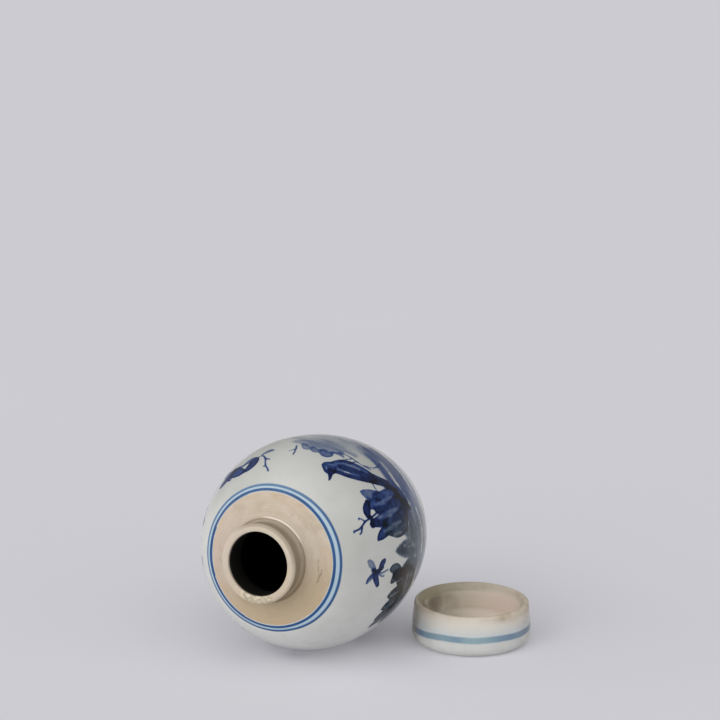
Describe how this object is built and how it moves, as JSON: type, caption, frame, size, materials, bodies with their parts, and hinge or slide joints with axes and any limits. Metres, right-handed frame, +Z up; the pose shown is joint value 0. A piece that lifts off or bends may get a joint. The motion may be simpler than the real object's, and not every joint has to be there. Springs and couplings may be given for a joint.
{
  "type": "ginger jar",
  "caption": "Blue-and-white porcelain ginger jar lying on its side, its flat cap lid resting upside down beside it.",
  "frame": {"origin": "middle of the pair's footprint on the table they lie on", "axes": "+Z up from the table; the jar lies with its axis in the YZ plane, mouth towards -Y and 5.3 degrees above level; the lid lies on its top on the +X side"},
  "size_m": [0.2178, 0.1834, 0.1502],
  "materials": {
    "jar_porcelain": "Glossy grey-white glaze with cobalt-blue brush painting; the shoulder, collar, lip and foot ring are bare tan clay",
    "lid_porcelain": "Warm white glaze with one soft steel-blue band; the rim and the inside are bare clay"
  },
  "bodies": {
    "jar": {"jar_body": "jar_porcelain"},
    "lid": {"lid": "lid_porcelain"}
  },
  "joints": [
    {"name": "lid_lift", "type": "slide", "parent": "jar", "child": "lid", "axis": [0.7071, 0, 0.7071], "range_m": [0, 0.2]}
  ]
}
